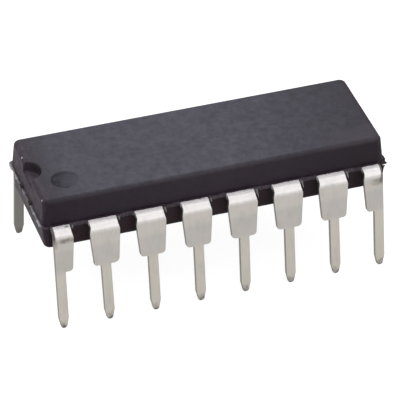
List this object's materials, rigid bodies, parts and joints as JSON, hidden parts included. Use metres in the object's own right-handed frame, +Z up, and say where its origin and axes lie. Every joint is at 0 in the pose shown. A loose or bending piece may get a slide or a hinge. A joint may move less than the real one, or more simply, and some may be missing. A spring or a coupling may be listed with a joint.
{
  "type": "dual in-line integrated circuit package",
  "caption": "Black moulded dual in-line chip package with a half-round notch, two rows of bent tinned leads, and a die, pad and bond wires sealed inside.",
  "frame": {"origin": "middle of the package in X and Y, at the lead tips, with the package standing on them", "axes": "+X along the body, away from the notched end; +Z up; +Y towards the row of leads 9 to 16"},
  "size_m": [0.0194, 0.0092, 0.0073],
  "materials": {
    "resin": "fine-grained dark grey-black moulding compound",
    "tinned_lead": "satin tin plating on copper alloy",
    "frame_copper": "bare copper alloy strip",
    "silver_adhesive": "cured silver-filled adhesive",
    "silicon": "polished silicon",
    "gold_wire": "bright gold"
  },
  "bodies": {
    "root": {"package_body": "resin", "die_pad": "frame_copper", "die_attach": "silver_adhesive", "silicon_die": "silicon", "lead_1": "tinned_lead", "lead_2": "tinned_lead", "lead_3": "tinned_lead", "lead_4": "tinned_lead", "lead_5": "tinned_lead", "lead_6": "tinned_lead", "lead_7": "tinned_lead", "lead_8": "tinned_lead", "lead_9": "tinned_lead", "lead_10": "tinned_lead", "lead_11": "tinned_lead", "lead_12": "tinned_lead", "lead_13": "tinned_lead", "lead_14": "tinned_lead", "lead_15": "tinned_lead", "lead_16": "tinned_lead", "bond_wire_1": "gold_wire", "bond_wire_2": "gold_wire", "bond_wire_3": "gold_wire", "bond_wire_4": "gold_wire", "bond_wire_5": "gold_wire", "bond_wire_6": "gold_wire", "bond_wire_7": "gold_wire", "bond_wire_8": "gold_wire", "bond_wire_9": "gold_wire", "bond_wire_10": "gold_wire", "bond_wire_11": "gold_wire", "bond_wire_12": "gold_wire", "bond_wire_13": "gold_wire", "bond_wire_14": "gold_wire", "bond_wire_15": "gold_wire", "bond_wire_16": "gold_wire"}
  },
  "joints": []
}
